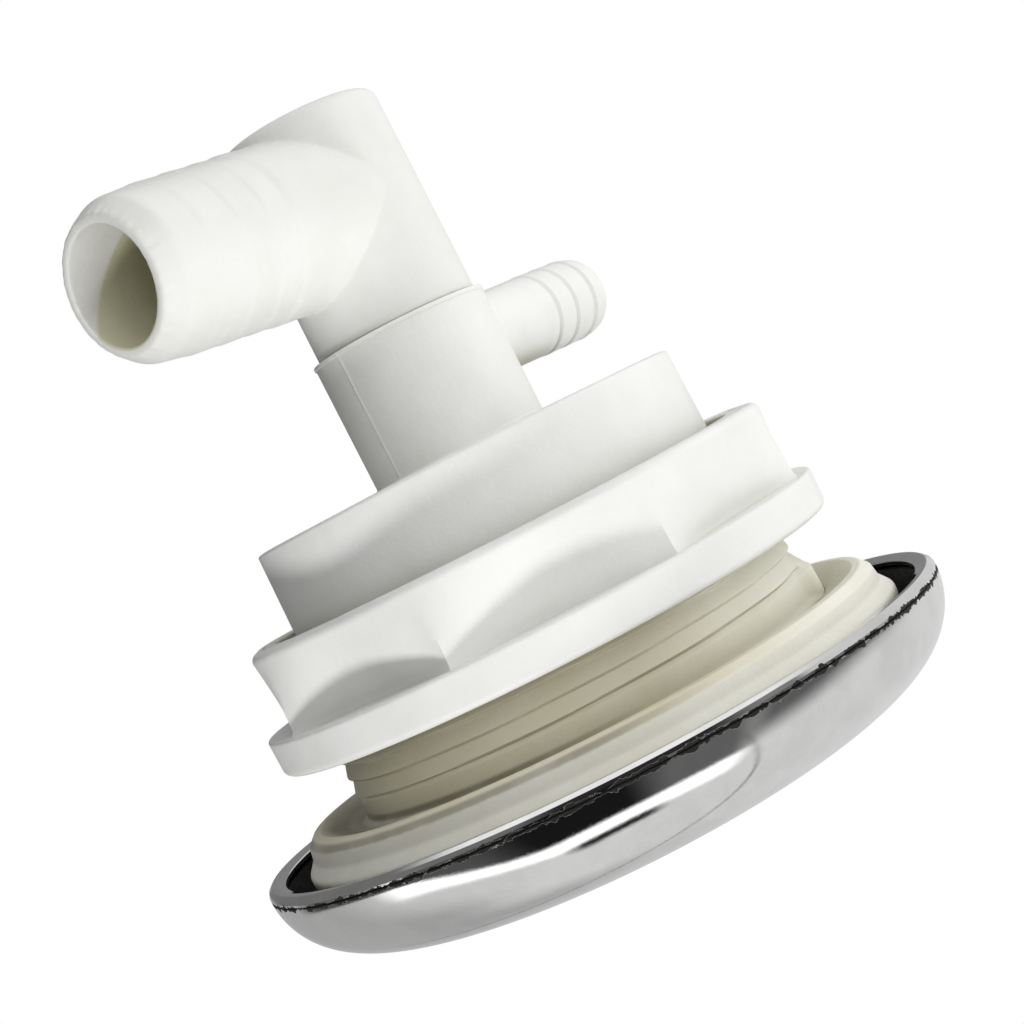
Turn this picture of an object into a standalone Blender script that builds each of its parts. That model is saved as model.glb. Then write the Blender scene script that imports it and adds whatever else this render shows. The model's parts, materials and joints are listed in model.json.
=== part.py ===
"""Through-hull water and air jet fitting, as an assembly of separate pieces.

Frame: +Z runs along the jet's axis, from the wet side to the hose side. The origin is on that axis,
in the plane that the escutcheon's crest rests on when the fitting stands face down. The water hose
barb points along -X, the air hose barb along +X.

Lengths below are in millimetres and angles in degrees. Heights are measured from the flange face that
bears on the hull, as a maker would dimension them; place() lifts every piece by HULL_FACE_HEIGHT.
"""

import math

import bmesh
import bpy
from mathutils import Matrix, Vector

MM = 0.001
HULL_FACE_HEIGHT = 17.0

# Flange and threaded tube
FLANGE_RADIUS = 42.2
FLANGE_THICKNESS = 6.2
LAND_RADII = (37.6, 39.6)
DISH_DEPTH = 2.0
RIM_WAIST_RADIUS = 40.6
RIM_WAIST_HEIGHTS = (-2.8, -1.2)
RIM_BEAD_TOP = -4.4
NECK_RADIUS = 32.1
TUBE_BORE = 28.6
TUBE_TOP = 22.0
SNAP_GROOVE_HEIGHTS = (-2.7, -0.9)
SNAP_GROOVE_RADIUS = 29.7
THREAD_PITCH = 2.3
THREAD_CREST = 32.1
THREAD_ROOT = 30.8
THREAD_FOOT = 1.9
THREAD_TURNS = 7
LUG_RADIUS = 33.9
LUG_TOP = 3.0
LUG_FOOT = -2.8
LUG_ANGLE = -55.0
LUG_ARC = 12.0

# Lock nut
NUT_SCALLOPS = 8
NUT_RIDGE_ANGLE = -155.0
NUT_TOP = 24.3
NUT_BOTTOM = 8.5
NUT_RING_TOP = 13.5
NUT_RING_RADIUS = 39.2
NUT_RIDGE_RADII = (37.2, 37.7)
NUT_VALLEY_RADII = (36.0, 33.6)
NUT_MINOR = 31.2
NUT_MAJOR = 32.45
NUT_THREAD_TURNS = 4
NUT_THREAD_FOOT = THREAD_FOOT + 3.5 * THREAD_PITCH
WASHER_RADII = (33.5, 36.9)
WASHER_HEIGHTS = (8.4, 9.55)

# Jet body: cup, stem and air barb
CUP_TOP = 35.05
CUP_RADIUS = 29.6
CUP_SHOULDER = 22.3
CUP_SHOULDER_RADIUS = 29.9
CUP_BORE = 27.3
CUP_CEILING = 32.2
SPIGOT_RADIUS = 28.3
SPIGOT_BORE = 25.9
SPIGOT_FOOT = 12.0
STEM_RADIUS = 12.1
STEM_BORE = 9.9
STEM_TOP = 53.5
AIR_BARB_HEIGHT = 48.05
AIR_BARB_RADIUS = 5.75
AIR_BARB_REACH = 36.4
AIR_BARB_BORE = 2.9
AIR_BARB_GROOVES = (24.1, 28.1, 32.3)

# Water elbow
ELBOW_RADIUS = 11.1
ELBOW_TOP = 82.7
ELBOW_FOOT = 53.8
ELBOW_SPIGOT_RADIUS = 9.6
ELBOW_SPIGOT_FOOT = 51.6
ELBOW_SEAT_RADIUS = 8.6
ELBOW_SEAT_TOP = 54.6
WATER_BARB_HEIGHT = 70.3
WATER_BARB_RADIUS = 10.7
WATER_BARB_ROOT_RADIUS = 11.05
WATER_BARB_REACH = 39.5
WATER_BORE = 7.4

# Escutcheon: the dome's outside follows a superellipse
COVER_RADIUS = 47.9
COVER_LIP = 3.3
COVER_WIDEST = 4.4
COVER_SHEET = 0.8
COVER_CREST_RADII = (27.0, 30.0)
COVER_POWER = 6
COVER_CREST_SHARE = math.sqrt(1.0 - (COVER_CREST_RADII[1] / COVER_RADIUS) ** COVER_POWER)
COVER_DEPTH = (HULL_FACE_HEIGHT - COVER_WIDEST) / COVER_CREST_SHARE
COVER_MOUTH_RADIUS = 19.4
COVER_MOUTH_HEIGHT = -13.0
CARRIER_RADIUS = 44.0
CARRIER_BACK = -7.6
CARRIER_COLLAR_TOP = -1.2

# Ball and its housing
BALL_RADIUS = 14.0
BALL_CENTRE = -3.0
BALL_BORE = 6.7
BALL_MOUTH = -11.2
BALL_REAR = 11.0
BALL_BORE_REAR = 7.6
BALL_BORE_STEP = -6.0
SEAT_HEIGHTS = (4.3, 7.5)
SEAT_RADIUS = 16.9
RETAINER_HEIGHTS = (-13.4, -9.2)
TRIM_BORE = 5.9
TRIM_RADIUS = 8.2

# Barrel: it turns in the tube and carries the ball's housing in front and the shutter behind
HOUSING_BORE = 17.2
HOUSING_RADIUS = 19.0
HOUSING_FOOT = -13.2
BARREL_HEAD_RADIUS = 28.2
BARREL_HEAD_BORE = 26.2
BARREL_HEAD_FOOT = -0.6
BARREL_WEB_HEIGHTS = (9.2, 11.4)
BARREL_WEB_HOLE = 12.5
BARREL_SLEEVE_RADIUS = 25.4
BARREL_SLEEVE_BORE = 23.0
BARREL_TOP_HEIGHTS = (21.4, 23.2)
HEAD_RING_HEIGHT = 3.7
TOP_RING_HEIGHT = 18.0
RING_GROOVE_DEPTH = 1.2
RING_GROOVE_HALF_WIDTH = 0.9
BARREL_RING_THICKNESS = 0.6
SPRING_RADII = (12.2, 16.3)
SPRING_HEIGHT = 8.35
SPRING_SHEET = 0.3
SPRING_WAVE = 0.22
SPRING_WAVES = 3

# Shutter: windows in the barrel's top and in the fixed plate above it line up when it is open
PLATE_RADIUS = 27.0
PLATE_HEIGHTS = (23.7, 25.5)
WINDOW_RADII = (5.0, 20.5)
WINDOW_STARTS = (-40.0, 140.0)
WINDOW_SPAN = 80.0

# Water and air meet between the venturi nozzle and the mixing tube
VENTURI_RADIUS = 8.3
VENTURI_HEIGHTS = (51.9, 54.3)
VENTURI_INLET = 5.8
VENTURI_TIP = 41.5
VENTURI_THROAT = 3.0
VENTURI_RING_HEIGHT = 53.1
VENTURI_GROOVE_DEPTH = 1.0
VENTURI_GROOVE_HALF_WIDTH = 0.6
VENTURI_RING_THICKNESS = 0.42
MIXER_TOP = 40.2
MIXER_RADIUS = 9.6
MIXER_FLANGE_RADIUS = 14.0
MIXER_FLANGE_HEIGHTS = (29.6, 31.9)
MIXER_FOOT = 25.8
MIXER_THROAT = 4.6

# Snap ring, an open ring in the tube's groove
SNAP_RADII = (27.0, 29.4)
SNAP_HEIGHTS = (-2.4, -1.3)
SNAP_GAP = 20.0

# Facets round a full turn
FINEST = 60
FINE = 40
MIDDLING = 32
COARSE = 24


def clear_scene():
    for thing in list(bpy.data.objects):
        bpy.data.objects.remove(thing, do_unlink=True)


def plain_material(name, colour, roughness, metallic=0.0):
    made = bpy.data.materials.new(name)
    made.use_nodes = True
    shader = made.node_tree.nodes["Principled BSDF"]
    shader.inputs["Base Color"].default_value = (*colour, 1.0)
    shader.inputs["Roughness"].default_value = roughness
    shader.inputs["Metallic"].default_value = metallic
    return made


def joint_frame(name, height=0.0, parent=None):
    """An empty on the jet's axis, which carries the pieces of one moving body."""
    frame = bpy.data.objects.new(name, None)
    bpy.context.scene.collection.objects.link(frame)
    frame.location = (0.0, 0.0, (HULL_FACE_HEIGHT + height) * MM)
    if parent is not None:
        frame.parent = parent
        frame.location.z -= parent.matrix_world.translation.z
    bpy.context.view_layer.update()
    return frame


def place(name, mesh, material, parent=None, smooth_angle=35.0):
    """Makes an object of a bmesh drawn in millimetres, with its heights taken from the hull face."""
    bmesh.ops.recalc_face_normals(mesh, faces=mesh.faces[:])
    if mesh.calc_volume(signed=True) < 0.0:
        bmesh.ops.reverse_faces(mesh, faces=mesh.faces[:])
    bmesh.ops.scale(mesh, vec=Vector((MM, MM, MM)), verts=mesh.verts[:])
    lift = HULL_FACE_HEIGHT * MM
    if parent is not None:
        lift -= parent.matrix_world.translation.z
    bmesh.ops.translate(mesh, vec=Vector((0.0, 0.0, lift)), verts=mesh.verts[:])
    data = bpy.data.meshes.new(name)
    mesh.to_mesh(data)
    mesh.free()
    data.materials.append(material)
    data.shade_smooth()
    data.set_sharp_from_angle(angle=math.radians(smooth_angle))
    made = bpy.data.objects.new(name, data)
    bpy.context.scene.collection.objects.link(made)
    made.parent = parent
    return made


def as_tool(thing):
    """A cutter or a joined shape: it shapes its neighbour and is no piece itself."""
    thing.hide_render = True
    thing.display_type = "WIRE"
    return thing


def combine(target, tool, operation):
    step = target.modifiers.new(tool.name, "BOOLEAN")
    step.operation = operation
    step.solver = "EXACT"
    step.object = as_tool(tool)


def ring_at(mesh, radius, height, count):
    """A ring of vertices round the axis. Radius may be a function of the angle; zero gives one vertex."""
    if not callable(radius) and radius == 0.0:
        return [mesh.verts.new((0.0, 0.0, height))]
    ring = []
    for step in range(count):
        angle = 2.0 * math.pi * step / count
        reach = radius(angle) if callable(radius) else radius
        ring.append(mesh.verts.new((reach * math.cos(angle), reach * math.sin(angle), height)))
    return ring


def join_rings(mesh, first, second):
    count = max(len(first), len(second))
    for step in range(count):
        corners = (
            first[step % len(first)],
            first[(step + 1) % len(first)],
            second[(step + 1) % len(second)],
            second[step % len(second)],
        )
        mesh.faces.new(list(dict.fromkeys(corners)))


def skin_rings(mesh, rings, closed=True):
    """Faces between neighbouring rings. Two neighbours that are both points on the axis need none."""
    pairs = list(zip(rings, rings[1:]))
    if closed:
        pairs.append((rings[-1], rings[0]))
    for first, second in pairs:
        if len(first) > 1 or len(second) > 1:
            join_rings(mesh, first, second)


def turned_mesh(profile, count):
    """A profile of (radius, height) points, turned once round the axis into a closed body."""
    mesh = bmesh.new()
    skin_rings(mesh, [ring_at(mesh, radius, height, count) for radius, height in profile])
    return mesh


def swept_mesh(profile, start, end, steps):
    """A closed profile of (radius, height) points swept through part of a turn, with both ends capped."""
    mesh = bmesh.new()
    sections = []
    for step in range(steps + 1):
        angle = math.radians(start + (end - start) * step / steps)
        sections.append([mesh.verts.new((r * math.cos(angle), r * math.sin(angle), z)) for r, z in profile])
    for first, second in zip(sections, sections[1:]):
        join_rings(mesh, first, second)
    mesh.faces.new(sections[0])
    mesh.faces.new(reversed(sections[-1]))
    return mesh


def circle_profile(radius, height, thickness, points=8):
    """The round section of an O-ring."""
    angles = [2.0 * math.pi * (step + 0.5) / points for step in range(points)]
    return [(radius + thickness * math.cos(a), height + thickness * math.sin(a)) for a in angles]


def arc_points(centre, radius, start, end, steps):
    """Points of (radius, height) along an arc in the profile's plane."""
    angles = [math.radians(start + (end - start) * step / steps) for step in range(steps + 1)]
    return [(centre[0] + radius * math.cos(a), centre[1] + radius * math.sin(a)) for a in angles]


def add_thread(mesh, root, crest, foot, turns, count):
    """A helical right-hand thread surface with a flat root and a sharp crest.

    Three helical rows make each turn: the root's two edges and the crest. The crest fades into the
    root over the first and last half turn, so the surface ends in two level rings at the root
    radius, which are returned.
    """
    lead = 0.05
    total = count * turns

    def row(share, steps, is_crest=False):
        line = []
        for step in range(steps + 1):
            fade = min(1.0, step / (count / 2), (steps - step) / (count / 2)) if is_crest else 0.0
            radius = root + (crest - root) * fade
            angle = 2.0 * math.pi * step / count
            height = foot + THREAD_PITCH * (lead + share + step / count)
            line.append(mesh.verts.new((radius * math.cos(angle), radius * math.sin(angle), height)))
        return line

    lower = ring_at(mesh, root, foot, count)
    upper = ring_at(mesh, root, foot + THREAD_PITCH * (turns + 1.0 + 2.0 * lead), count)
    root_start, root_end, ridge = row(0.0, total + count), row(0.36, total), row(0.68, total, True)
    for step in range(total):
        after = step + 1
        mesh.faces.new((root_start[step], root_start[after], root_end[after], root_end[step]))
        mesh.faces.new((root_end[step], root_end[after], ridge[after], ridge[step]))
        mesh.faces.new((ridge[step], ridge[after], root_start[after + count], root_start[step + count]))
    for step in range(count - 1):
        mesh.faces.new((lower[step], lower[step + 1], root_start[step + 1], root_start[step]))
        above = total + step + 1
        mesh.faces.new((root_start[above], root_start[above + 1], upper[(step + 2) % count], upper[step + 1]))
    foot_column = [root_start[0], root_end[0], ridge[0], root_start[count]]
    mesh.faces.new([lower[-1], lower[0], *foot_column, root_start[count - 1]])
    head_column = [root_start[total + count], ridge[total], root_end[total], root_start[total]]
    mesh.faces.new([root_start[total + 1], upper[1], upper[0], *head_column])
    return lower, upper


def make_wall_fitting(material):
    rim = FLANGE_RADIUS
    land_start, land_end = LAND_RADII
    waist_low, waist_high = RIM_WAIST_HEIGHTS
    groove_low, groove_high = SNAP_GROOVE_HEIGHTS
    mesh = bmesh.new()
    lower, upper = add_thread(mesh, THREAD_ROOT, THREAD_CREST, THREAD_FOOT, THREAD_TURNS, MIDDLING)
    above = [
        (THREAD_ROOT, TUBE_TOP - 0.4),
        (THREAD_ROOT - 0.4, TUBE_TOP),
        (TUBE_BORE, TUBE_TOP),
        (TUBE_BORE, groove_high),
        (SNAP_GROOVE_RADIUS, groove_high),
        (SNAP_GROOVE_RADIUS, groove_low),
        (TUBE_BORE, groove_low),
        (TUBE_BORE, -FLANGE_THICKNESS),
        (rim - 0.8, -FLANGE_THICKNESS),
        (rim, -FLANGE_THICKNESS + 0.8),
        (rim, RIM_BEAD_TOP),
        (RIM_WAIST_RADIUS, waist_low),
        (RIM_WAIST_RADIUS, waist_high),
        (land_end, 0.0),
        (land_start, 0.0),
        (NECK_RADIUS + 0.6, -DISH_DEPTH),
        (NECK_RADIUS, -DISH_DEPTH + 0.6),
        (NECK_RADIUS, THREAD_FOOT - 0.5),
    ]
    rings = [upper]
    rings += [ring_at(mesh, radius, height, MIDDLING) for radius, height in above]
    rings.append(lower)
    skin_rings(mesh, rings, closed=False)
    fitting = place("wall_fitting", mesh, material)
    lug_profile = [
        (NECK_RADIUS - 1.2, LUG_FOOT),
        (LUG_RADIUS, LUG_FOOT),
        (LUG_RADIUS, LUG_TOP - 0.7),
        (LUG_RADIUS - 0.7, LUG_TOP),
        (THREAD_ROOT - 0.6, LUG_TOP),
    ]
    start, end = LUG_ANGLE - LUG_ARC / 2, LUG_ANGLE + LUG_ARC / 2
    lug = place("lug_tool", swept_mesh(lug_profile, start, end, 3), material)
    combine(fitting, lug, "UNION")
    return fitting


def nut_side_radius(share, inset=0.0):
    """The grip's radius as a function of the angle. Share runs from 0 at the top to 1 at the ring."""
    ridge = NUT_RIDGE_RADII[0] + (NUT_RIDGE_RADII[1] - NUT_RIDGE_RADII[0]) * share - inset
    valley = NUT_VALLEY_RADII[0] + (NUT_VALLEY_RADII[1] - NUT_VALLEY_RADII[0]) * share ** 0.8 - inset
    period = 2.0 * math.pi / NUT_SCALLOPS

    def radius(angle):
        offset = (angle - math.radians(NUT_RIDGE_ANGLE)) % period
        across = 2.0 * offset / period - 1.0
        return valley + (ridge - valley) * across * across

    return radius


def make_lock_nut(material, parent):
    mesh = bmesh.new()
    lower, upper = add_thread(mesh, NUT_MAJOR, NUT_MINOR, NUT_THREAD_FOOT, NUT_THREAD_TURNS, FINE)
    recess_inner, recess_outer = WASHER_RADII[0] - 0.3, WASHER_RADII[1] + 0.3
    recess_top = WASHER_HEIGHTS[1] + 0.3
    side_top = NUT_TOP - 1.5
    outline = [
        (NUT_MAJOR, NUT_TOP - 0.4),
        (NUT_MAJOR + 0.4, NUT_TOP),
        (NUT_VALLEY_RADII[0] - 1.2, NUT_TOP),
        (nut_side_radius(0.0, 0.4), NUT_TOP - 0.4),
    ]
    for share in (0.0, 0.33, 0.67, 1.0):
        outline.append((nut_side_radius(share), side_top + (NUT_RING_TOP - side_top) * share))
    outline += [
        (NUT_RING_RADIUS - 0.4, NUT_RING_TOP),
        (NUT_RING_RADIUS, NUT_RING_TOP - 0.4),
        (NUT_RING_RADIUS - 0.2, NUT_BOTTOM + 0.5),
        (NUT_RING_RADIUS - 0.7, NUT_BOTTOM),
        (recess_outer, NUT_BOTTOM),
        (recess_outer, recess_top),
        (recess_inner, recess_top),
        (recess_inner, NUT_BOTTOM),
        (NUT_MAJOR + 0.2, NUT_BOTTOM),
    ]
    rings = [upper] + [ring_at(mesh, radius, height, FINE) for radius, height in outline] + [lower]
    skin_rings(mesh, rings, closed=False)
    return place("lock_nut", mesh, material, parent)


def make_nut_washer(material, parent):
    (inner, outer), (low, high) = WASHER_RADII, WASHER_HEIGHTS
    profile = [(inner, low), (outer, low), (outer, high), (inner, high)]
    return place("nut_washer", turned_mesh(profile, FINE), material, parent)


def make_jet_body(material):
    profile = [
        (SPIGOT_BORE, SPIGOT_FOOT),
        (SPIGOT_RADIUS - 0.4, SPIGOT_FOOT),
        (SPIGOT_RADIUS, SPIGOT_FOOT + 0.4),
        (SPIGOT_RADIUS, CUP_SHOULDER),
        (CUP_SHOULDER_RADIUS, CUP_SHOULDER),
        (CUP_RADIUS, CUP_TOP - 0.5),
        (CUP_RADIUS - 0.5, CUP_TOP),
        (STEM_RADIUS - 0.1, CUP_TOP),
        (STEM_RADIUS, STEM_TOP - 0.3),
        (STEM_RADIUS - 0.3, STEM_TOP),
        (STEM_BORE, STEM_TOP),
        (STEM_BORE, CUP_CEILING),
        (CUP_BORE, CUP_CEILING),
        (CUP_BORE, CUP_SHOULDER + 1.1),
        (SPIGOT_BORE, CUP_SHOULDER - 0.1),
    ]
    body = place("jet_body", turned_mesh(profile, FINE), material)
    barb = place("air_barb_tool", turned_mesh(air_barb_profile(), COARSE), material)
    bore = place("air_bore_tool", turned_mesh(plug_profile(AIR_BARB_BORE, 7.0, 44.0), COARSE), material)
    for tool in (barb, bore):
        aim_sideways(tool, AIR_BARB_HEIGHT, 1.0)
    combine(body, barb, "UNION")
    combine(body, bore, "DIFFERENCE")
    return body


def plug_profile(radius, start, end):
    return [(0.0, start), (radius, start), (radius, end), (0.0, end)]


def air_barb_profile():
    """Root inside the stem's wall, a plain length, three shallow grooves and a rounded tip."""
    radius = AIR_BARB_RADIUS
    root = 10.3
    points = [(0.0, root), (radius, root)]
    for groove in AIR_BARB_GROOVES:
        points += [(radius, groove - 0.7), (radius - 0.6, groove), (radius, groove + 1.2)]
    points += [(radius - 0.3, AIR_BARB_REACH - 1.8), (AIR_BARB_BORE + 1.0, AIR_BARB_REACH)]
    points.append((0.0, AIR_BARB_REACH))
    return points


def aim_sideways(thing, height, direction):
    """Lays a tool drawn along +Z from the hull face on its side, along +X or -X, at a height on the axis."""
    turn = Matrix.Rotation(direction * math.pi / 2.0, 4, "Y")
    lift = HULL_FACE_HEIGHT * MM
    thing.data.transform(turn @ Matrix.Translation((0.0, 0.0, -lift)))
    thing.location = (0.0, 0.0, height * MM + lift)


def make_water_elbow(material):
    upright = [
        (0.0, ELBOW_SPIGOT_FOOT),
        (ELBOW_SPIGOT_RADIUS, ELBOW_SPIGOT_FOOT),
        (ELBOW_SPIGOT_RADIUS, ELBOW_FOOT),
        (ELBOW_RADIUS + 0.1, ELBOW_FOOT),
        (ELBOW_RADIUS, ELBOW_FOOT + 6.0),
        (ELBOW_RADIUS, ELBOW_TOP - 0.7),
        (ELBOW_RADIUS - 0.7, ELBOW_TOP),
        (0.0, ELBOW_TOP),
    ]
    seat = [
        (0.0, ELBOW_SPIGOT_FOOT - 2.0),
        (ELBOW_SEAT_RADIUS, ELBOW_SPIGOT_FOOT - 2.0),
        (ELBOW_SEAT_RADIUS, ELBOW_SEAT_TOP),
        (WATER_BORE - 0.5, ELBOW_SEAT_TOP),
        (WATER_BORE - 0.5, WATER_BARB_HEIGHT + 4.0),
        (WATER_BORE - 3.0, WATER_BARB_HEIGHT + 6.5),
        (0.0, WATER_BARB_HEIGHT + 6.5),
    ]
    elbow = place("water_elbow", turned_mesh(upright, COARSE), material)
    barb = place("water_barb_tool", turned_mesh(water_barb_profile(), COARSE), material)
    bore = place("water_bore_tool", turned_mesh(plug_profile(WATER_BORE, -1.5, 46.0), COARSE), material)
    for tool in (barb, bore):
        aim_sideways(tool, WATER_BARB_HEIGHT, -1.0)
    combine(elbow, barb, "UNION")
    combine(elbow, place("seat_tool", turned_mesh(seat, COARSE), material), "DIFFERENCE")
    combine(elbow, bore, "DIFFERENCE")
    return elbow


def water_barb_profile():
    """From the elbow's axis out to the mouth: a plain root, two low hose ridges and a rounded nose."""
    radius = WATER_BARB_RADIUS
    mouth = WATER_BARB_REACH
    return [
        (0.0, 0.0),
        (WATER_BARB_ROOT_RADIUS, 0.0),
        (WATER_BARB_ROOT_RADIUS, 19.0),
        (radius - 0.2, 19.6),
        (radius + 0.15, 25.5),
        (radius - 0.2, 26.1),
        (radius, 32.0),
        (radius, mouth - 4.0),
        (radius - 0.9, mouth - 1.6),
        (WATER_BORE + 1.2, mouth),
        (0.0, mouth),
    ]


def make_venturi_nozzle(material):
    low, high = VENTURI_HEIGHTS
    groove_floor = VENTURI_RADIUS - VENTURI_GROOVE_DEPTH
    groove_low = VENTURI_RING_HEIGHT - VENTURI_GROOVE_HALF_WIDTH
    groove_high = VENTURI_RING_HEIGHT + VENTURI_GROOVE_HALF_WIDTH
    profile = [
        (VENTURI_INLET, high),
        (VENTURI_RADIUS, high),
        (VENTURI_RADIUS, groove_high),
        (groove_floor, groove_high),
        (groove_floor, groove_low),
        (VENTURI_RADIUS, groove_low),
        (VENTURI_RADIUS, low),
        (VENTURI_INLET + 1.1, low),
        (VENTURI_THROAT + 1.2, VENTURI_TIP),
        (VENTURI_THROAT, VENTURI_TIP),
    ]
    return place("venturi_nozzle", turned_mesh(profile, COARSE), material)


def make_mixing_tube(material):
    """A throat that narrows from the top and then widens as a diffuser, with a flange to hold it."""
    flange_low, flange_high = MIXER_FLANGE_HEIGHTS
    profile = [
        (MIXER_THROAT + 1.0, MIXER_TOP),
        (MIXER_RADIUS - 0.5, MIXER_TOP),
        (MIXER_RADIUS, MIXER_TOP - 0.5),
        (MIXER_RADIUS, flange_high),
        (MIXER_FLANGE_RADIUS, flange_high),
        (MIXER_FLANGE_RADIUS, flange_low),
        (MIXER_RADIUS + 1.2, flange_low),
        (MIXER_RADIUS + 0.8, MIXER_FOOT),
        (MIXER_RADIUS - 1.0, MIXER_FOOT),
        (MIXER_THROAT, MIXER_TOP - 4.2),
        (MIXER_THROAT, MIXER_TOP - 2.2),
    ]
    return place("mixing_tube", turned_mesh(profile, COARSE), material)


def cut_windows(plate, material, low, high):
    """Two opposite shutter windows through a plate."""
    inner, outer = WINDOW_RADII
    for start in WINDOW_STARTS:
        profile = [(inner, low), (outer, low), (outer, high), (inner, high)]
        window = swept_mesh(profile, start, start + WINDOW_SPAN, 8)
        tool = place(f"{plate.name}_window_{start:.0f}", window, material, plate.parent)
        combine(plate, tool, "DIFFERENCE")


def make_flow_plate(material):
    (low, high), rim = PLATE_HEIGHTS, PLATE_RADIUS
    profile = [(0.0, low), (rim - 0.5, low), (rim, low + 0.5), (rim, high), (0.0, high)]
    plate = place("flow_plate", turned_mesh(profile, COARSE), material)
    cut_windows(plate, material, low - 1.5, high + 1.5)
    return plate


def make_snap_ring(material):
    (inner, outer), (low, high) = SNAP_RADII, SNAP_HEIGHTS
    profile = [(inner, low), (outer, low), (outer, high), (inner, high)]
    start = 90.0 + SNAP_GAP / 2
    return place("snap_ring", swept_mesh(profile, start, start + 360.0 - SNAP_GAP, FINE), material)


def ring_groove(radius, height):
    """A rectangular O-ring groove in a cylinder, from its lower edge to its upper edge."""
    floor = radius - RING_GROOVE_DEPTH
    low, high = height - RING_GROOVE_HALF_WIDTH, height + RING_GROOVE_HALF_WIDTH
    return [(radius, low), (floor, low), (floor, high), (radius, high)]


def make_barrel(material, parent):
    head, sleeve = BARREL_HEAD_RADIUS, BARREL_SLEEVE_RADIUS
    web_low, web_high = BARREL_WEB_HEIGHTS
    top_low, top_high = BARREL_TOP_HEIGHTS
    profile = [
        (HOUSING_BORE, HOUSING_FOOT),
        (HOUSING_RADIUS, HOUSING_FOOT),
        (HOUSING_RADIUS, web_low),
        (BARREL_HEAD_BORE, web_low),
        (BARREL_HEAD_BORE, BARREL_HEAD_FOOT),
        (head, BARREL_HEAD_FOOT),
        *ring_groove(head, HEAD_RING_HEIGHT),
        (head, web_high),
        (sleeve, web_high),
        *ring_groove(sleeve, TOP_RING_HEIGHT),
        (sleeve, top_high),
        (0.0, top_high),
        (0.0, top_low),
        (BARREL_SLEEVE_BORE, top_low),
        (BARREL_SLEEVE_BORE, web_high),
        (BARREL_WEB_HOLE, web_high),
        (BARREL_WEB_HOLE, web_low),
        (HOUSING_BORE, web_low),
    ]
    barrel = place("barrel", turned_mesh(profile, MIDDLING), material, parent)
    cut_windows(barrel, material, top_low - 1.5, top_high + 1.5)
    return barrel


def make_o_ring(name, radius, height, thickness, material, parent=None):
    return place(name, turned_mesh(circle_profile(radius, height, thickness, 6), COARSE), material, parent)


def make_wave_spring(material, parent):
    """A flat spring ring bent into three waves."""
    inner, outer = SPRING_RADII
    mesh = bmesh.new()
    sections = []
    for step in range(FINE):
        angle = 2.0 * math.pi * step / FINE
        low = SPRING_HEIGHT + SPRING_WAVE * math.cos(SPRING_WAVES * angle) - SPRING_SHEET / 2
        high = low + SPRING_SHEET
        corners = ((inner, low), (outer, low), (outer, high), (inner, high))
        sections.append([mesh.verts.new((r * math.cos(angle), r * math.sin(angle), z)) for r, z in corners])
    skin_rings(mesh, sections)
    return place("wave_spring", mesh, material, parent)


def ball_clearance_radius(height):
    """The radius at a height of a surface that stays just clear of the ball, facets included."""
    reach = BALL_RADIUS + 0.35
    return math.sqrt(reach**2 - (height - BALL_CENTRE) ** 2) + 0.1


def make_ball_seat_ring(material, parent):
    low, high = SEAT_HEIGHTS
    inner = [(ball_clearance_radius(z), z) for z in (high, (low + high) / 2, low)]
    profile = [(SEAT_RADIUS - 0.5, low), (SEAT_RADIUS, low + 0.5), (SEAT_RADIUS, high), *inner]
    return place("ball_seat_ring", turned_mesh(profile, COARSE), material, parent)


def make_ball_retainer(material, parent):
    low, high = RETAINER_HEIGHTS
    step = high - 1.2
    profile = [
        (SEAT_RADIUS, high),
        (SEAT_RADIUS, low + 0.4),
        (SEAT_RADIUS - 0.4, low),
        (SEAT_RADIUS - 2.9, low),
        (SEAT_RADIUS - 4.4, low + 1.1),
        (ball_clearance_radius(step), step),
        (ball_clearance_radius(high), high),
    ]
    return place("ball_retainer", turned_mesh(profile, COARSE), material, parent)


def make_nozzle_ball(material, parent):
    rear = math.degrees(math.asin(BALL_REAR / BALL_RADIUS))
    mouth = math.degrees(math.asin(BALL_MOUTH / BALL_RADIUS))
    profile = arc_points((0.0, BALL_CENTRE), BALL_RADIUS, rear, mouth, 9)
    profile += [
        (BALL_BORE, BALL_CENTRE + BALL_MOUTH),
        (BALL_BORE, BALL_BORE_STEP),
        (BALL_BORE_REAR, BALL_CENTRE + BALL_REAR),
    ]
    return place("nozzle_ball", turned_mesh(profile, COARSE), material, parent)


def make_nozzle_trim_ring(material, parent):
    """A bright flange round the ball's mouth, with a short skirt inside the ball's bore."""
    face = BALL_CENTRE + BALL_MOUTH - 0.25
    skirt = BALL_BORE - 0.25
    profile = [
        (TRIM_BORE, face - 0.5),
        (TRIM_BORE + 0.4, face - 0.8),
        (TRIM_RADIUS - 0.3, face - 0.8),
        (TRIM_RADIUS, face - 0.4),
        (TRIM_RADIUS, face),
        (skirt, face),
        (skirt, face + 5.4),
        (TRIM_BORE, face + 5.4),
    ]
    return place("nozzle_trim_ring", turned_mesh(profile, COARSE), material, parent)


def dome_height(radius):
    """The height of the cover's outside at a radius, on its superellipse."""
    share = 1.0 - (radius / COVER_RADIUS) ** COVER_POWER
    return -COVER_WIDEST - COVER_DEPTH * math.sqrt(max(0.0, share))


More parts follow.
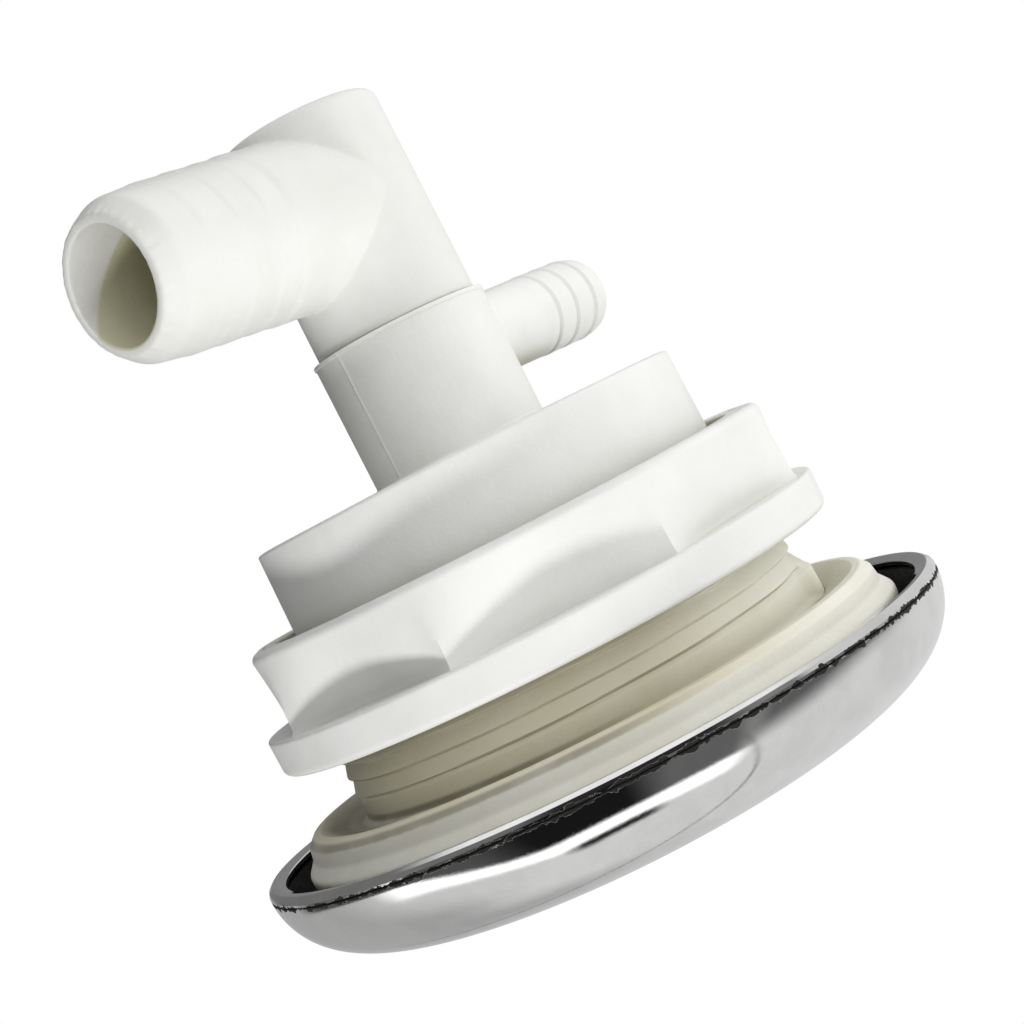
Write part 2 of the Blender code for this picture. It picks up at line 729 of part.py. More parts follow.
def cover_outline():
    """The cover's outside, from the rolled lip over the dome to the crest and into the dished mouth."""
    inner, outer = COVER_CREST_RADII
    points = [(COVER_RADIUS - 0.45, -COVER_LIP), (COVER_RADIUS, -COVER_LIP - 0.5)]
    steps = 8
    for step in range(steps):
        inset = (COVER_RADIUS - outer) * (step / steps) ** 2
        points.append((COVER_RADIUS - inset, dome_height(COVER_RADIUS - inset)))
    points += [(outer, -HULL_FACE_HEIGHT), (inner, -HULL_FACE_HEIGHT)]
    points += [(inner - 3.5, -HULL_FACE_HEIGHT + 1.4), (COVER_MOUTH_RADIUS, COVER_MOUTH_HEIGHT)]
    return points


def inner_skin(outline, thickness):
    """The outline moved inwards by the sheet's thickness, along the mean normal at each point."""
    moved = []
    for index, (radius, height) in enumerate(outline):
        before = outline[max(index - 1, 0)]
        after = outline[min(index + 1, len(outline) - 1)]
        run = Vector((after[0] - before[0], after[1] - before[1])).normalized()
        moved.append((radius + run.y * thickness, height - run.x * thickness))
    return moved


def make_escutcheon_cover(material, parent):
    outline = cover_outline()
    inside = inner_skin(outline[2:], COVER_SHEET)[::2]
    lip = [(COVER_RADIUS - 1.1, -COVER_LIP - 0.1)]
    profile = outline + list(reversed(inside)) + lip
    return place("escutcheon_cover", turned_mesh(profile, FINEST), material, parent)


def make_escutcheon_carrier(material, parent):
    """A plastic plate that fills the back of the cover, with a collar that grips the ball's housing."""
    collar_inner = HOUSING_RADIUS + 0.3
    collar_outer = collar_inner + 2.0
    front = [
        (collar_inner, -11.6),
        (collar_outer, -12.4),
        (27.5, -15.0),
        (38.0, -13.4),
        (42.6, -10.6),
        (CARRIER_RADIUS, CARRIER_BACK),
    ]
    back = [
        (CARRIER_RADIUS - 1.6, CARRIER_BACK),
        (37.0, -11.4),
        (28.4, -12.8),
        (collar_outer, -9.8),
        (collar_outer, CARRIER_COLLAR_TOP),
        (collar_inner, CARRIER_COLLAR_TOP),
    ]
    return place("escutcheon_carrier", turned_mesh(front + back, MIDDLING), material, parent)


def build():
    clear_scene()
    ivory = plain_material("ivory_plastic", (0.66, 0.63, 0.52), 0.42)
    white = plain_material("white_plastic", (0.84, 0.84, 0.81), 0.40)
    grey = plain_material("grey_plastic", (0.52, 0.53, 0.54), 0.45)
    black = plain_material("black_plastic", (0.015, 0.015, 0.016), 0.55)
    acetal = plain_material("acetal", (0.80, 0.80, 0.78), 0.30)
    rubber = plain_material("seal_rubber", (0.02, 0.02, 0.02), 0.75)
    stainless = plain_material("stainless", (0.78, 0.78, 0.77), 0.10, 1.0)
    spring_steel = plain_material("spring_steel", (0.55, 0.55, 0.56), 0.30, 1.0)

    nut_travel = joint_frame("nut_travel_frame")
    nut_turn = joint_frame("nut_turn_frame", 0.0, nut_travel)
    face_turn = joint_frame("face_turn_frame")
    seat_turn = joint_frame("seat_turn_frame", BALL_CENTRE, face_turn)
    nozzle_tilt = joint_frame("nozzle_tilt_frame", BALL_CENTRE, seat_turn)

    make_wall_fitting(ivory)
    make_jet_body(white)
    make_water_elbow(white)
    make_venturi_nozzle(grey)
    seal = VENTURI_RADIUS - 0.35
    make_o_ring("nozzle_o_ring", seal, VENTURI_RING_HEIGHT, VENTURI_RING_THICKNESS, rubber)
    make_mixing_tube(grey)
    make_flow_plate(grey)
    make_snap_ring(spring_steel)

    make_nut_washer(acetal, nut_travel)
    make_lock_nut(white, nut_turn)

    make_barrel(grey, face_turn)
    for name, bearing, height in (
        ("barrel_head_o_ring", BARREL_HEAD_RADIUS, HEAD_RING_HEIGHT),
        ("barrel_top_o_ring", BARREL_SLEEVE_RADIUS, TOP_RING_HEIGHT),
    ):
        make_o_ring(name, bearing - 0.45, height, BARREL_RING_THICKNESS, rubber, face_turn)
    make_wave_spring(spring_steel, face_turn)
    make_ball_retainer(grey, face_turn)
    make_escutcheon_carrier(black, face_turn)
    make_escutcheon_cover(stainless, face_turn)
    make_ball_seat_ring(acetal, seat_turn)
    make_nozzle_ball(white, nozzle_tilt)
    make_nozzle_trim_ring(stainless, nozzle_tilt)


build()
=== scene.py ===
"""Looks of the through-hull jet fitting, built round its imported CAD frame.

The shape functions work in millimetres, with heights measured from the flange face that bears on the
hull, as the CAD source does; HULL is that face's height in the frame. Angles go round the jet's axis:
the water barb points to 180 degrees and the air barb to 0.
"""
import json
import math

import bmesh
import bpy
import numpy as np
from mathutils import Matrix, Vector


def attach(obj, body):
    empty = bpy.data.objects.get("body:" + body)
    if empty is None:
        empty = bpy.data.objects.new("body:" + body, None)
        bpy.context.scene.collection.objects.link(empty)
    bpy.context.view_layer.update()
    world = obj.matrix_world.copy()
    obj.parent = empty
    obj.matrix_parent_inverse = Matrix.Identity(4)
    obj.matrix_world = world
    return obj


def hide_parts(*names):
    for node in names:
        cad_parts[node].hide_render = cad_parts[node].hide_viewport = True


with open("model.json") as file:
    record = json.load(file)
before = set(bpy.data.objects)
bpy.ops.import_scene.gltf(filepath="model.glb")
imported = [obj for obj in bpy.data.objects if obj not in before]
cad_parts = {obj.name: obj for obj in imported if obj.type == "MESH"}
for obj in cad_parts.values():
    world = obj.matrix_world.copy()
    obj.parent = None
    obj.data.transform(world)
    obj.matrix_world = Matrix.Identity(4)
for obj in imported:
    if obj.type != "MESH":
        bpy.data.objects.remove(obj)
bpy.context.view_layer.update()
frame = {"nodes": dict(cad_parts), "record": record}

MM = 0.001
MOUNTS = {mount["name"]: mount["pos_m"] for mount in frame["record"]["mounts"]}
HULL = MOUNTS["hull_face"][2]
WATER_HEIGHT = 70.3
AIR_HEIGHT = 48.05
COLLECTION = bpy.context.scene.collection

# Segments round a full turn, and steps round one rounded corner
SMOOTH = 288
MEDIUM = 144
ARC_STEPS = 6


# ---------------------------------------------------------------- shapes

def rounded(corners):
    """A closed profile of (radius, height) points.

    A corner given a third number is rounded to that radius.
    """
    points = []
    for index, corner in enumerate(corners):
        here = Vector(corner[:2])
        if len(corner) < 3:
            points.append(here)
            continue
        before = (Vector(corners[index - 1][:2]) - here).normalized()
        after = (Vector(corners[(index + 1) % len(corners)][:2]) - here).normalized()
        half = before.angle(after) / 2.0
        centre = here + (before + after).normalized() * corner[2] / math.sin(half)
        start = here + before * corner[2] / math.tan(half) - centre
        end = here + after * corner[2] / math.tan(half) - centre
        sweep = math.atan2(start.x * end.y - start.y * end.x, start.dot(end))
        for step in range(ARC_STEPS + 1):
            turn = Matrix.Rotation(sweep * step / ARC_STEPS, 2)
            points.append(centre + turn @ start)
    return points


def spaced(points, gap):
    """The closed profile with extra points, so that no two neighbours are further apart than gap."""
    out = []
    for here, there in zip(points, points[1:] + points[:1]):
        on_axis = here.x == 0.0 and there.x == 0.0
        parts = 1 if on_axis else max(1, math.ceil((there - here).length / gap))
        out += [here.lerp(there, part / parts) for part in range(parts)]
    return out


def object_from(name, points, faces):
    """A mesh object of points in millimetres, with heights taken from the hull face."""
    mesh = bpy.data.meshes.new(name)
    mesh.from_pydata((np.asarray(points) * MM + np.array((0.0, 0.0, HULL))).tolist(), [], faces)
    mesh.validate()
    made = bpy.data.objects.new(name, mesh)
    COLLECTION.objects.link(made)
    return made


def turned_faces(profile, steps):
    """Quads between neighbouring rings of points, or triangles where one ring lies on the axis."""
    faces = []
    for row, here in enumerate(profile):
        following = (row + 1) % len(profile)
        low_tip = here.x == 0.0
        high_tip = profile[following].x == 0.0
        if low_tip and high_tip:
            continue
        low = row * steps
        high = following * steps
        for step in range(steps):
            after = (step + 1) % steps
            if low_tip:
                face = (low, high + after, high + step)
            elif high_tip:
                face = (low + step, low + after, high)
            else:
                face = (low + step, low + after, high + after, high + step)
            faces.append(face)
    return faces


def turned(name, corners, steps=SMOOTH, gap=2.0, shape=None):
    """Turns a closed profile about the axis. shape(angle, radius, height) may move each point."""
    profile = spaced(rounded(corners), gap)
    turn = np.linspace(0.0, 2.0 * math.pi, steps, endpoint=False)
    angle = np.tile(turn, (len(profile), 1))
    radius = np.array([p.x for p in profile])[:, None] * np.ones_like(angle)
    height = np.array([p.y for p in profile])[:, None] * np.ones_like(angle)
    if shape is not None:
        radius, height = shape(angle, radius, height)
    points = np.stack([radius * np.cos(angle), radius * np.sin(angle), height], axis=-1)
    made = object_from(name, points.reshape(-1, 3), turned_faces(profile, steps))
    tidy_mesh(made.data)
    return made


def tidy_mesh(mesh):
    """Drops the unused points at the tips and turns every face outwards."""
    work = bmesh.new()
    work.from_mesh(mesh)
    loose = [v for v in work.verts if not v.link_faces]
    bmesh.ops.delete(work, geom=loose, context="VERTS")
    bmesh.ops.recalc_face_normals(work, faces=work.faces[:])
    if work.calc_volume(signed=True) < 0.0:
        bmesh.ops.reverse_faces(work, faces=work.faces[:])
    work.to_mesh(mesh)
    work.free()


def lay_sideways(thing, height, sign):
    """Turns a piece drawn upwards from the hull face so that it points along +X or -X at a height."""
    turn = Matrix.Rotation(sign * math.pi / 2.0, 4, "Y")
    thing.data.transform(Matrix.Translation((0.0, 0.0, -HULL)))
    thing.data.transform(turn)
    thing.data.transform(Matrix.Translation((0.0, 0.0, HULL + height * MM)))
    return thing


def combined(target, tool, operation):
    """Applies an exact Boolean of the tool to the target, and removes the tool."""
    step = target.modifiers.new("combine", "BOOLEAN")
    step.operation = operation
    step.solver = "EXACT"
    step.object = tool
    apply_modifiers(target)
    bpy.data.objects.remove(tool)
    return target


def apply_modifiers(thing):
    """Gives a piece the mesh that its modifiers make of it, and removes them."""
    bpy.context.view_layer.update()
    evaluated = thing.evaluated_get(bpy.context.evaluated_depsgraph_get())
    mesh = bpy.data.meshes.new_from_object(evaluated)
    thing.modifiers.clear()
    thing.data = mesh
    mesh.name = thing.name


def melted(thing, voxel, passes):
    """Remeshes a piece finely and relaxes it, which rounds its creases as a moulding's are."""
    remesh = thing.modifiers.new("remesh", "REMESH")
    remesh.mode = "VOXEL"
    remesh.voxel_size = voxel * MM
    relax = thing.modifiers.new("relax", "SMOOTH")
    relax.factor = 0.5
    relax.iterations = passes
    apply_modifiers(thing)
    return thing


def wrapped(angle):
    """The angle brought into -pi to pi."""
    return (angle + math.pi) % (2.0 * math.pi) - math.pi


def ramp(value, low, high):
    """A smooth step of value, from 0 at low to 1 at high."""
    share = np.clip((value - low) / (high - low), 0.0, 1.0)
    return share * share * (3.0 - 2.0 * share)


RIPPLE_WAVES = 9
RIPPLE_LIFT = 1.2
RIPPLE_FALL = 0.7
RIPPLE_SCALE = 2.6


def ripple(angle, seed, height=0.0):
    """A smooth wander of about plus or minus 1, from a few sine waves with seeded phases."""
    random = np.random.default_rng(seed)
    total = np.zeros_like(angle + height)
    for wave in range(1, RIPPLE_WAVES + 1):
        turns = random.integers(1, 3 * RIPPLE_WAVES)
        lift = random.uniform(-RIPPLE_LIFT, RIPPLE_LIFT)
        phase = random.uniform(0.0, 6.28)
        total = total + np.sin(turns * angle + lift * height + phase) / wave ** RIPPLE_FALL
    return total / RIPPLE_SCALE


# ---------------------------------------------------------------- the fitting through the hull

FLANGE_RADIUS = 42.2
NECK_RADIUS = 32.1
THREAD_PITCH = 2.3
THREAD_CREST = 2.7
THREAD_CREST_ANGLE = math.radians(-136.0)
THREAD_UNDERCUT = 0.16
THREAD_DEPTH = 0.6
THREAD_ROOT = 0.4
THREAD_START = (1.8, 2.4)
THREAD_END = (20.4, 21.4)
TUBE_ENDS = (-1.4, 21.6)
TUBE_WEAR = 0.02
LUG_ANGLE = math.radians(-55.0)
LUG_HALF_WIDTH = math.radians(7.0)
LUG_RADIUS = 33.9
LUG_FOOT = -2.1
LUG_SHOULDER = 2.2
LUG_TOP = 5.1
LUG_TAPER = 0.06
LUG_BEVEL = 2.1
RIM_WANDER = 0.03


def thread_wave(angle, height):
    """Thread relief: 1 at each crest, easing to 0 above it, with a sharp undercut below it."""
    round_share = wrapped(angle - THREAD_CREST_ANGLE) / (2.0 * math.pi)
    share = ((height - THREAD_CREST) / THREAD_PITCH - round_share) % 1.0
    ease = 1.0 - share / (1.0 - THREAD_UNDERCUT)
    undercut = (share - 1.0 + THREAD_UNDERCUT) / THREAD_UNDERCUT
    return np.clip(np.maximum(ease, undercut), 0.0, 1.0)


def threaded_tube(angle, radius, height):
    """Raises a slightly worn thread on the tube."""
    fade = ramp(height, *THREAD_START) * (1.0 - ramp(height, *THREAD_END))
    relief = fade * (THREAD_DEPTH * thread_wave(angle, height) - THREAD_ROOT)
    wear = TUBE_WEAR * ripple(angle, 3, height * 2.0)
    is_tube = (np.abs(radius - NECK_RADIUS) < 0.1) & (height > TUBE_ENDS[0]) & (height < TUBE_ENDS[1])
    return np.where(is_tube, radius + relief + wear, radius)


def swollen_lug(angle, radius, height):
    """Swells the lug out of the neck: nearly upright, then bevelled back above its shoulder."""
    near_lug = ramp(LUG_HALF_WIDTH - np.abs(wrapped(angle - LUG_ANGLE)), -0.03, 0.05)
    over = np.clip((height - LUG_SHOULDER) / (LUG_TOP - LUG_SHOULDER), 0.0, 1.0)
    face = LUG_RADIUS - LUG_TAPER * np.clip(height, 0.0, LUG_SHOULDER) - LUG_BEVEL * over ** 0.8
    face = face + 0.04 * (radius - NECK_RADIUS)
    is_lug = (radius > 31.0) & (radius < LUG_RADIUS) & (height > LUG_FOOT) & (height < LUG_TOP)
    return np.where(is_lug, radius + near_lug * np.maximum(face - radius, 0.0), radius)


def fitting_shape(angle, radius, height):
    """Adds the thread and the lug, and makes the rim a little untrue."""
    radius = threaded_tube(angle, radius, height)
    radius = swollen_lug(angle, radius, height)
    is_rim = radius > 40.0
    radius = np.where(is_rim, radius + RIM_WANDER * ripple(angle, 11), radius)
    return radius, height


def make_wall_fitting():
    """The tube and its flange, whose rim has a narrow land, a waist and a rounded bead."""
    corners = [
        (NECK_RADIUS, -2.0, 0.9),
        (NECK_RADIUS, 21.9, 0.5),
        (30.4, 22.0),
        (28.6, 22.0, 0.3),
        (28.6, -6.2, 0.3),
        (FLANGE_RADIUS - 0.1, -6.2, 0.7),
        (FLANGE_RADIUS, -4.5, 1.2),
        (40.9, -2.9, 1.2),
        (40.6, -1.2, 0.35),
        (39.5, -0.1, 0.5),
        (38.4, 0.0, 0.5),
    ]
    return turned("wall_fitting_looks", corners, gap=0.2, shape=fitting_shape)


# ---------------------------------------------------------------- the lock nut

NUT_SCALLOPS = 8
NUT_RIDGE_ANGLE = math.radians(-155.0)
NUT_SIDE_TOP = 23.2
NUT_RING_TOP = 13.5
NUT_RING_FLAT = 38.7
NUT_SIDE_RADIUS = 36.5
NUT_RIDGE_RADIUS = 37.2
NUT_RIDGE_FLARE = 0.5
NUT_VALLEY_RADIUS = 36.0
NUT_VALLEY_DEPTH = 2.4
NUT_RIDGE_SHARPNESS = 2.15
NUT_FOOT_FLARE = 0.3
NUT_BORE_RADIUS = 32.5
NUT_THREAD_DEPTH = 0.75
NUT_THREAD_START = (10.2, 11.4)
NUT_THREAD_END = (22.4, 23.4)


def nut_grip(angle, radius, height):
    """Nearly round at its top, the grip's side falls to deep scallops between sharp ridges at the ring."""
    share = np.clip((NUT_SIDE_TOP - height) / (NUT_SIDE_TOP - NUT_RING_TOP), 0.0, 1.0)
    period = 2.0 * math.pi / NUT_SCALLOPS
    across = 2.0 * ((angle - NUT_RIDGE_ANGLE) % period) / period - 1.0
    ridge = NUT_RIDGE_RADIUS + NUT_RIDGE_FLARE * share
    valley = NUT_VALLEY_RADIUS - NUT_VALLEY_DEPTH * share ** 0.9
    soft = 0.5 - 0.5 * np.cos(math.pi * across)
    sharp = np.abs(across) ** NUT_RIDGE_SHARPNESS
    side = valley + (ridge - valley) * ((1.0 - share) * soft + share * sharp)
    foot = side + NUT_FOOT_FLARE * np.exp(-np.abs(height - NUT_RING_TOP) / 0.35)

    at_ring = np.abs(height - NUT_RING_TOP) < 0.01
    on_ring = at_ring & (radius > NUT_SIDE_RADIUS - 0.01) & (radius < NUT_RING_FLAT)
    is_side = (radius > 34.5) & (height > NUT_RING_TOP + 0.01) & (radius < 37.5)
    spread = (radius - NUT_SIDE_RADIUS) / (NUT_RING_FLAT - NUT_SIDE_RADIUS)
    radius = np.where(on_ring, foot + (NUT_RING_FLAT - foot) * spread, radius)
    return np.where(is_side, foot - (NUT_SIDE_RADIUS - radius), radius)


def nut_shape(angle, radius, height):
    """Adds the grip's scallops and the thread in the bore, and makes the ring a little untrue."""
    radius = nut_grip(angle, radius, height)
    is_bore = (radius < NUT_BORE_RADIUS + 0.1) & (height > NUT_THREAD_START[0]) & (height < 23.6)
    fade = ramp(height, *NUT_THREAD_START) * (1.0 - ramp(height, *NUT_THREAD_END))
    relief = NUT_THREAD_DEPTH * fade * (1.0 - thread_wave(angle, height))
    radius = np.where(is_bore, radius - relief, radius)
    is_ring = radius > 38.0
    radius = np.where(is_ring, radius + RIM_WANDER * ripple(angle, 5), radius)
    return radius, height


def make_lock_nut():
    """A scalloped grip on a wide ring, with a groove under the ring for the washer."""
    corners = [
        (NUT_BORE_RADIUS, 24.3, 0.4),
        (NUT_SIDE_RADIUS, 24.3, 1.0),
        (NUT_SIDE_RADIUS, NUT_RING_TOP),
        (39.2, NUT_RING_TOP, 0.45),
        (39.05, 8.5, 0.85),
        (37.2, 8.5, 0.15),
        (37.2, 9.85),
        (33.2, 9.85),
        (33.2, 8.5, 0.15),
        (NUT_BORE_RADIUS, 8.5, 0.3),
    ]
    return turned("lock_nut_looks", corners, gap=0.32, shape=nut_shape)


# ---------------------------------------------------------------- jet body: cup, stem and air barb

CUP_TOP = 35.05
STEM_RADIUS = 12.0
PARTING_WIDTH = 0.22
PARTING_RISE_CUP = 0.045
PARTING_RISE_STEM = 0.085
CUP_EDGE_WANDER = 0.035
AIR_BORE = 2.9
AIR_BARB_GROOVES = (24.1, 28.1, 32.3)


def jet_body_shape(angle, radius, height):
    """Adds the parting line down both sides and the slightly uneven edge of the cup's top."""
    from_line = np.minimum(np.abs(wrapped(angle)), np.abs(wrapped(angle - math.pi))) * radius
    line = ramp(from_line, PARTING_WIDTH, 0.0)
    is_outside = ((radius > STEM_RADIUS - 0.1) & (height > CUP_TOP)) | (radius > 29.2)
    rise = np.where(radius > 20.0, PARTING_RISE_CUP, PARTING_RISE_STEM)
    radius = radius + np.where(is_outside, rise * line, 0.0)
    is_rim = (radius > 28.6) & (height > CUP_TOP - 1.0)
    radius = radius + np.where(is_rim, CUP_EDGE_WANDER * ripple(angle * 3.0, 21), 0.0)
    return radius, height


def make_jet_body():
    """The cup, with a slightly crowned top, and the stem, with a narrow ledge at its own top."""
    corners = [
        (25.9, 12.0),
        (28.3, 12.0, 0.5),
        (28.3, 22.3),
        (29.9, 22.3, 0.2),
        (29.6, CUP_TOP, 0.4),
        (28.9, CUP_TOP + 0.15),
        (STEM_RADIUS, CUP_TOP + 0.55, 0.35),
        (12.05, 52.9),
        (12.22, 53.05, 0.1),
        (12.22, 53.55, 0.2),
        (9.9, 53.55),
        (9.9, 32.2),
        (27.3, 32.2),
        (27.3, 23.4),
        (25.9, 22.2),
    ]
    body = turned("jet_body_looks", corners, gap=1.4, shape=jet_body_shape)
    combined(body, make_air_barb(), "UNION")
    bore = lay_sideways(plug("air_bore", AIR_BORE, 7.0, 45.0), AIR_HEIGHT, 1.0)
    return combined(body, bore, "DIFFERENCE")


def plug(name, radius, start, end):
    """A plain rod between two heights, to cut a bore with."""
    return turned(name, [(0.0, start), (radius, start), (radius, end), (0.0, end)], steps=MEDIUM)


def make_air_barb():
    """A plain root, three narrow hose grooves and a blunt rounded tip."""
    corners = [(0.0, 10.4), (5.7, 10.4)]
    for middle in AIR_BARB_GROOVES:
        corners += [(5.76, middle - 0.3, 0.1), (5.3, middle, 0.08), (5.85, middle + 0.5, 0.2)]
    corners += [(5.7, 34.0, 0.6), (5.2, 36.4, 1.6), (0.0, 36.4)]
    barb = turned("air_barb", corners, steps=MEDIUM, gap=1.0)
    return lay_sideways(barb, AIR_HEIGHT, 1.0)


# ---------------------------------------------------------------- water elbow

WATER_BORE = 7.4
WATER_REACH = 39.5
MOUTH_WANDER = 0.10
MELT_VOXEL = 0.2
MELT_PASSES = 3


def water_barb_shape(angle, radius, height):
    """Makes the mouth's edge uneven. Height is the reach along the barb here."""
    edge = ramp(height, WATER_REACH - 2.0, WATER_REACH - 0.3)
    is_outside = radius > WATER_BORE + 0.5
    radius = radius + MOUTH_WANDER * edge * ripple(angle * 2.0, 8) * is_outside
    return radius, height


def make_water_barb():
    """A plain root, three faint hose ridges and a rounded tip, drawn along its reach."""
    corners = [
        (0.0, 0.0),
        (11.05, 0.0),
        (11.05, 17.6, 2.0),
        (10.82, 18.6, 0.8),
        (10.88, 21.9, 0.6),
        (10.74, 22.5, 0.6),
        (10.8, 26.6, 0.6),
        (10.66, 27.2, 0.6),
        (10.66, 31.6, 0.6),
        (10.5, 32.4, 0.8),
        (10.2, 36.6, 2.4),
        (8.5, WATER_REACH, 0.7),
        (0.0, WATER_REACH),
    ]
    barb = turned("water_barb", corners, steps=192, gap=0.6, shape=water_barb_shape)
    return lay_sideways(barb, WATER_HEIGHT, -1.0)


def make_water_elbow():
    """An upright with the barb on its side, bored through and moulded with soft creases."""
    upright = [
        (0.0, 51.6),
        (9.6, 51.6),
        (9.6, 53.58),
        (11.2, 53.58, 0.2),
        (11.1, 82.7, 1.3),
        (0.0, 82.7),
    ]
    seat = [
        (0.0, 49.0),
        (8.6, 49.0),
        (8.6, 54.6),
        (6.9, 54.6),
        (6.9, 74.5, 2.0),
        (0.0, 76.8),
    ]
    elbow = turned("water_elbow_looks", upright, steps=192, gap=1.2)
    combined(elbow, make_water_barb(), "UNION")
    combined(elbow, turned("seat", seat, steps=MEDIUM), "DIFFERENCE")
    bore = lay_sideways(plug("water_bore", WATER_BORE, -1.5, 46.0), WATER_HEIGHT, -1.0)
    combined(elbow, bore, "DIFFERENCE")
    return melted(elbow, MELT_VOXEL, MELT_PASSES)


# ---------------------------------------------------------------- bright escutcheon and what it hides

COVER_RADIUS = 47.9
COVER_WIDEST = 4.4
COVER_FRONT = -HULL / MM
COVER_DROP = -COVER_FRONT - COVER_WIDEST
COVER_SHEET = 0.8
CREST = (27.0, 30.0)
DOME_POWER = 6
CREST_SHARE = math.sqrt(1.0 - (CREST[1] / COVER_RADIUS) ** DOME_POWER)
HEM_CREASE = -4.62
HEM_BAND = -4.66


def dome(radius):
    """The height of the dome's outside at a radius, on its superellipse."""
    share = math.sqrt(max(0.0, 1.0 - (radius / COVER_RADIUS) ** DOME_POWER))
    return -COVER_WIDEST - COVER_DROP / CREST_SHARE * share


def dome_points(inset, steps=44):
    """Points down the dome from its widest ring to the crest, moved inwards by the sheet's thickness."""
    points = []
    for step in range(steps + 1):
        turn = 0.5 * math.pi * step / steps
        radius = CREST[1] + (COVER_RADIUS - CREST[1]) * math.cos(turn)
        slope = 0.01
        ahead = dome(max(radius - slope, CREST[1])) - dome(min(radius + slope, COVER_RADIUS))
        normal = Vector((-ahead, -2.0 * slope)).normalized()
        points.append((radius - abs(normal.x) * inset, dome(radius) + abs(normal.y) * inset))
    return points


def cover_shape(angle, radius, height):
    """The hem under the lip was rolled over unevenly: its crease wanders and its edge is ragged."""
    is_crease = (np.abs(height - HEM_CREASE) < 0.3) & (radius > 47.2)
    wander = 0.06 * ripple(angle * 6.0, 31) + 0.05 * ripple(angle * 17.0, 32)
    return radius, height + np.where(is_crease, wander, 0.0)


def make_cover():
    """One pressed sheet: a dome turned in round the outlet, with a rolled lip behind."""
    outside = dome_points(0.0)
    inside = dome_points(COVER_SHEET)
    lip = [
        (47.0, -4.95),
        (45.4, -4.35, 0.2),
        (45.25, -3.7, 0.2),
        (46.4, -3.3, 0.4),
        (47.15, -3.3, 0.35),
        (47.7, -3.75, 0.3),
        (47.88, -4.2, 0.2),
    ]
    hem = [
        (47.86, HEM_CREASE + 0.12),
        (47.62, HEM_CREASE),
        (47.87, HEM_CREASE - 0.12),
    ]
    mouth = [
        (CREST[0], COVER_FRONT, 2.0),
        (23.4, -15.55, 2.5),
        (19.4, -13.0, 0.3),
        (19.9, -12.3, 0.3),
        (23.8, -14.75, 2.5),
        (CREST[0] + 0.2, COVER_FRONT + COVER_SHEET),
    ]
    down = [point for point in outside if point[1] < -4.8]
    back = [point for point in reversed(inside) if point[1] < -5.4]
    corners = lip + hem + down + mouth + back
    return turned("escutcheon_cover_looks", corners, steps=384, gap=1.5, shape=cover_shape)


def make_carrier():
    """Black plastic that lines the cover's back, up to just under its lip."""
    lining = [point for point in dome_points(1.1, 20) if point[1] < -6.0]
    sleeve = [
        (21.3, -1.2, 0.4),
        (19.3, -1.2, 0.4),
        (19.3, -11.6),
        (21.4, -12.4),
        (27.5, -15.4),
    ]
    back = [
        (46.5, -5.0, 0.2),
        (45.6, -5.0, 0.2),
        (44.6, -8.4, 2.0),
        (37.0, -11.8, 2.0),
        (28.4, -12.8),
        (21.3, -9.8),
    ]
    corners = sleeve + list(reversed(lining)) + back
    return turned("escutcheon_carrier_looks", corners, steps=MEDIUM)


# ---------------------------------------------------------------- the aimable outlet

BALL_CENTRE = -3.0
BALL_RADIUS = 14.0
BALL_TOP_ANGLE = 51.8
BALL_SWEEP = 104.9
BALL_STEPS = 36
GRIP_NOTCHES = 12
NOTCH_DEPTH = 0.7


def make_ball():
    """A ball cut flat at both ends, with a bore that widens inwards."""
    corners = []
    for step in range(BALL_STEPS + 1):
        angle = math.radians(BALL_TOP_ANGLE - BALL_SWEEP * step / BALL_STEPS)
        corners.append((BALL_RADIUS * math.cos(angle), BALL_CENTRE + BALL_RADIUS * math.sin(angle)))
    corners += [(6.7, -14.2), (6.7, -6.0, 1.0), (7.6, 8.0, 0.3)]
    return turned("nozzle_ball_looks", corners, steps=192, gap=1.2)


def make_trim_ring():
    """A thin bright ring with a rolled front edge, pressed into the ball's bore."""
    corners = [
        (5.9, -15.0, 0.3),
        (6.6, -15.25, 0.3),
        (8.2, -15.1, 0.35),
        (8.2, -14.45, 0.15),
        (6.45, -14.45),
        (6.45, -9.05, 0.1),
        (5.9, -9.05, 0.15),
    ]
    return turned("nozzle_trim_ring_looks", corners, steps=MEDIUM, gap=1.0)


def retainer_shape(angle, radius, height):
    """Notches round the front face, where a key turns the ring."""
    across = np.abs(((angle * GRIP_NOTCHES / (2.0 * math.pi)) % 1.0) - 0.5) * 2.0
    notch = ramp(across, 0.78, 0.9)
    is_front = (radius > 14.8) & (height < -12.6)
    return radius, height + np.where(is_front, NOTCH_DEPTH * notch, 0.0)


def make_retainer():
    """The ring that holds the ball in, with a bevel towards it."""
    corners = [
        (16.9, -9.2, 0.3),
        (16.9, -13.4, 0.4),
        (14.2, -13.4, 0.4),
        (12.5, -12.3, 0.3),
        (12.5, -10.4),
        (13.1, -9.2, 0.15),
    ]
    return turned("ball_retainer_looks", corners, gap=0.4, shape=retainer_shape)


# ---------------------------------------------------------------- materials

